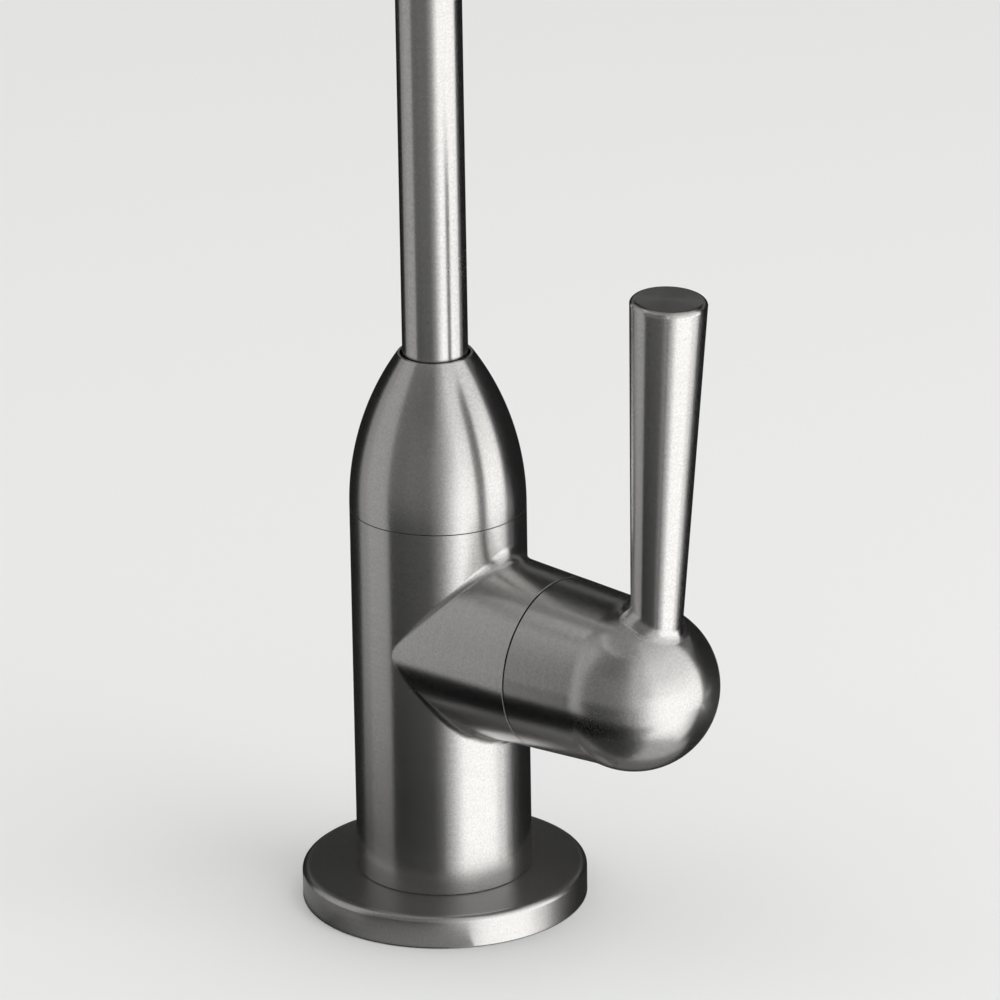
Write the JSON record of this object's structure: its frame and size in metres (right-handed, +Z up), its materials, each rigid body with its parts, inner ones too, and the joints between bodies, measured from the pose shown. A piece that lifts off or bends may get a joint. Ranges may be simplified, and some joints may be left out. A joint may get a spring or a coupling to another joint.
{
  "type": "drinking water filter tap",
  "caption": "Slim round deck tap for filtered drinking water with a swivelling swan-neck spout and a quarter-turn lever handle on a side boss.",
  "frame": {"origin": "centre of the base flange's underside, on the worktop", "axes": "+Z up the pillar, +X out along the handle's hub, -Y towards the user with the spout in its stored position"},
  "size_m": [0.0731, 0.143, 0.329],
  "materials": {
    "nickel": "satin brushed nickel",
    "brass": "turned",
    "steel": "turned stainless steel",
    "rubber": "matte",
    "ceramic": "polished alumina",
    "acetal": "moulded",
    "black_plastic": "moulded"
  },
  "bodies": {
    "tap": {"base_flange": "nickel", "base_gasket": "rubber", "body": "nickel", "spout_cap": "nickel", "spout_bush": "acetal", "cartridge_housing": "brass", "cartridge_o_ring": "rubber", "fixed_disc": "ceramic", "disc_seal": "rubber", "threaded_tail": "steel", "inlet_nut": "brass", "inlet_ferrule": "acetal"},
    "lever_handle": {"handle": "nickel", "handle_grub_screw": "steel", "cartridge_stem": "brass", "stem_o_ring": "rubber", "stem_clip": "steel", "moving_disc": "ceramic"},
    "spout": {"spout_tube": "nickel", "spout_foot": "brass", "spout_o_ring_upper": "rubber", "spout_o_ring_lower": "rubber", "outlet_nozzle": "nickel", "flow_straightener": "acetal"},
    "clamp": {"deck_washer": "rubber", "locator_washer": "black_plastic", "lock_washer": "steel", "mounting_nut": "brass"}
  },
  "joints": [
    {"name": "handle_turn", "type": "hinge", "parent": "tap", "child": "lever_handle", "pos_m": [0.03, 0, 0.044], "axis": [1, 0, 0], "range_deg": [0, 90]},
    {"name": "spout_swivel", "type": "hinge", "parent": "tap", "child": "spout", "pos_m": [0, 0, 0.07], "axis": [0, 0, 1], "continuous": true},
    {"name": "clamp_travel", "type": "slide", "parent": "tap", "child": "clamp", "axis": [0, 0, 1], "range_m": [-0.008, 0.018]}
  ]
}
